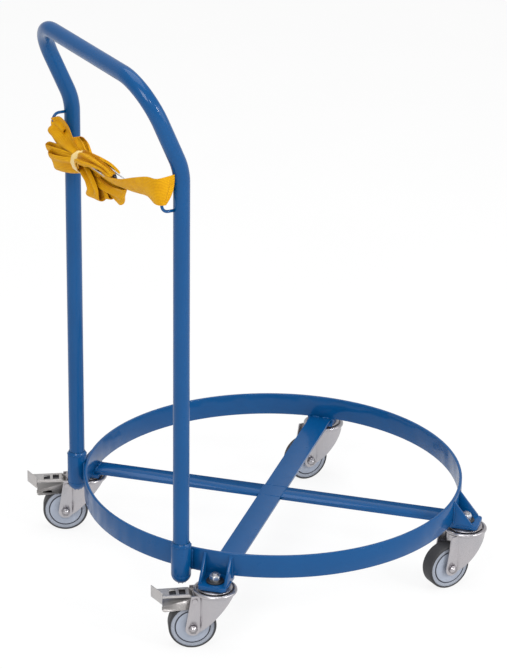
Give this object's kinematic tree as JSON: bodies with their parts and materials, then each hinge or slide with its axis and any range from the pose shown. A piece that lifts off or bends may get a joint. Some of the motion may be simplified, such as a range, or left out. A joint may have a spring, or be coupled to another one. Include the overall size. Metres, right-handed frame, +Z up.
{
  "type": "drum trolley",
  "caption": "Round drum trolley: a band ring on crossed flat bars, swivel casters on gusseted brackets, brake pedals, a plug-in bent tube handle and a lashing strap with cam buckle.",
  "frame": {"origin": "on the ring's axis at the top of the cross bars, where the drum stands", "axes": "+Z up; +X away from the handle, the way the trolley is pushed; +Y to the left of the person who pushes"},
  "size_m": [0.6927, 0.66, 0.9846],
  "materials": {
    "blue_coat": "glossy powder coat",
    "zinc": "bright zinc plate",
    "bearing_steel": "polished",
    "dark_washer": "matte",
    "rim_grey": "satin",
    "guard_grey": "satin",
    "tread": "matte",
    "webbing": "woven",
    "tie_band": "satin",
    "buckle_steel": "satin zinc plate"
  },
  "bodies": {
    "frame": {"ring": "blue_coat", "bar_long": "blue_coat", "bar_halves": "blue_coat", "bracket_front": "blue_coat", "bracket_left": "blue_coat", "bracket_right": "blue_coat", "bracket_back": "blue_coat", "sleeve_near": "blue_coat", "sleeve_far": "blue_coat", "sleeve_caps": "blue_coat", "sleeve_welds": "blue_coat", "king_bolts": "zinc", "king_nuts": "zinc", "king_washers": "dark_washer", "race_front": "zinc", "race_left": "zinc", "race_right": "zinc", "race_back": "zinc"},
    "handle": {"bow": "blue_coat", "eyes": "blue_coat", "strap_loops": "webbing", "strap_lead": "webbing", "strap_web": "webbing", "strap_tail": "webbing", "strap_bundle": "webbing", "strap_tie": "tie_band", "buckle_frame": "buckle_steel", "buckle_pin": "buckle_steel"},
    "swivel_front": {"fork_front": "zinc", "balls_front": "bearing_steel", "axle_front": "zinc", "pedal_pin_front": "zinc"},
    "wheel_front": {"core_front": "rim_grey", "tyre_front": "tread", "guards_front": "guard_grey"},
    "pedal_front": {"lever_front": "zinc", "release_front": "zinc"},
    "swivel_left": {"fork_left": "zinc", "balls_left": "bearing_steel", "axle_left": "zinc", "pedal_pin_left": "zinc"},
    "wheel_left": {"core_left": "rim_grey", "tyre_left": "tread", "guards_left": "guard_grey"},
    "pedal_left": {"lever_left": "zinc", "release_left": "zinc"},
    "swivel_right": {"fork_right": "zinc", "balls_right": "bearing_steel", "axle_right": "zinc"},
    "wheel_right": {"core_right": "rim_grey", "tyre_right": "tread", "guards_right": "guard_grey"},
    "swivel_back": {"fork_back": "zinc", "balls_back": "bearing_steel", "axle_back": "zinc"},
    "wheel_back": {"core_back": "rim_grey", "tyre_back": "tread", "guards_back": "guard_grey"},
    "cam": {"buckle_cam": "buckle_steel"}
  },
  "joints": [
    {"name": "swivel_front_turn", "type": "hinge", "parent": "frame", "child": "swivel_front", "pos_m": [-0.24466, -0.24466, -0.02], "axis": [0, 0, 1], "continuous": true},
    {"name": "wheel_front_spin", "type": "hinge", "parent": "swivel_front", "child": "wheel_front", "pos_m": [-0.27964, -0.22981, -0.082], "axis": [-0.3907, -0.9205, 0], "continuous": true},
    {"name": "pedal_front_press", "type": "hinge", "parent": "swivel_front", "child": "pedal_front", "pos_m": [-0.27688, -0.23098, -0.031], "axis": [-0.3907, -0.9205, 0], "range_deg": [0, 12]},
    {"name": "swivel_left_turn", "type": "hinge", "parent": "frame", "child": "swivel_left", "pos_m": [-0.24466, 0.24466, -0.02], "axis": [0, 0, 1], "continuous": true},
    {"name": "wheel_left_spin", "type": "hinge", "parent": "swivel_left", "child": "wheel_left", "pos_m": [-0.2791, 0.26072, -0.082], "axis": [-0.4226, -0.9063, 0], "continuous": true},
    {"name": "pedal_left_press", "type": "hinge", "parent": "swivel_left", "child": "pedal_left", "pos_m": [-0.27638, 0.25945, -0.031], "axis": [-0.4226, -0.9063, 0], "range_deg": [0, 12]},
    {"name": "swivel_right_turn", "type": "hinge", "parent": "frame", "child": "swivel_right", "pos_m": [0.24466, -0.24466, -0.02], "axis": [0, 0, 1], "continuous": true},
    {"name": "wheel_right_spin", "type": "hinge", "parent": "swivel_right", "child": "wheel_right", "pos_m": [0.20666, -0.24532, -0.082], "axis": [0.0175, -0.9998, 0], "continuous": true},
    {"name": "swivel_back_turn", "type": "hinge", "parent": "frame", "child": "swivel_back", "pos_m": [0.24466, 0.24466, -0.02], "axis": [0, 0, 1], "continuous": true},
    {"name": "wheel_back_spin", "type": "hinge", "parent": "swivel_back", "child": "wheel_back", "pos_m": [0.20666, 0.244, -0.082], "axis": [0.0175, -0.9998, 0], "continuous": true},
    {"name": "handle_lift", "type": "slide", "parent": "frame", "child": "handle", "axis": [0, 0, 1], "range_m": [0, 0.05]},
    {"name": "buckle_cam_open", "type": "hinge", "parent": "handle", "child": "cam", "pos_m": [-0.31741, 0.022, 0.64532], "axis": [-0.7431, 0, 0.6691], "range_deg": [0, 35], "stiffness_Nm_per_rad": 0.3, "springref_deg": -11.46}
  ]
}
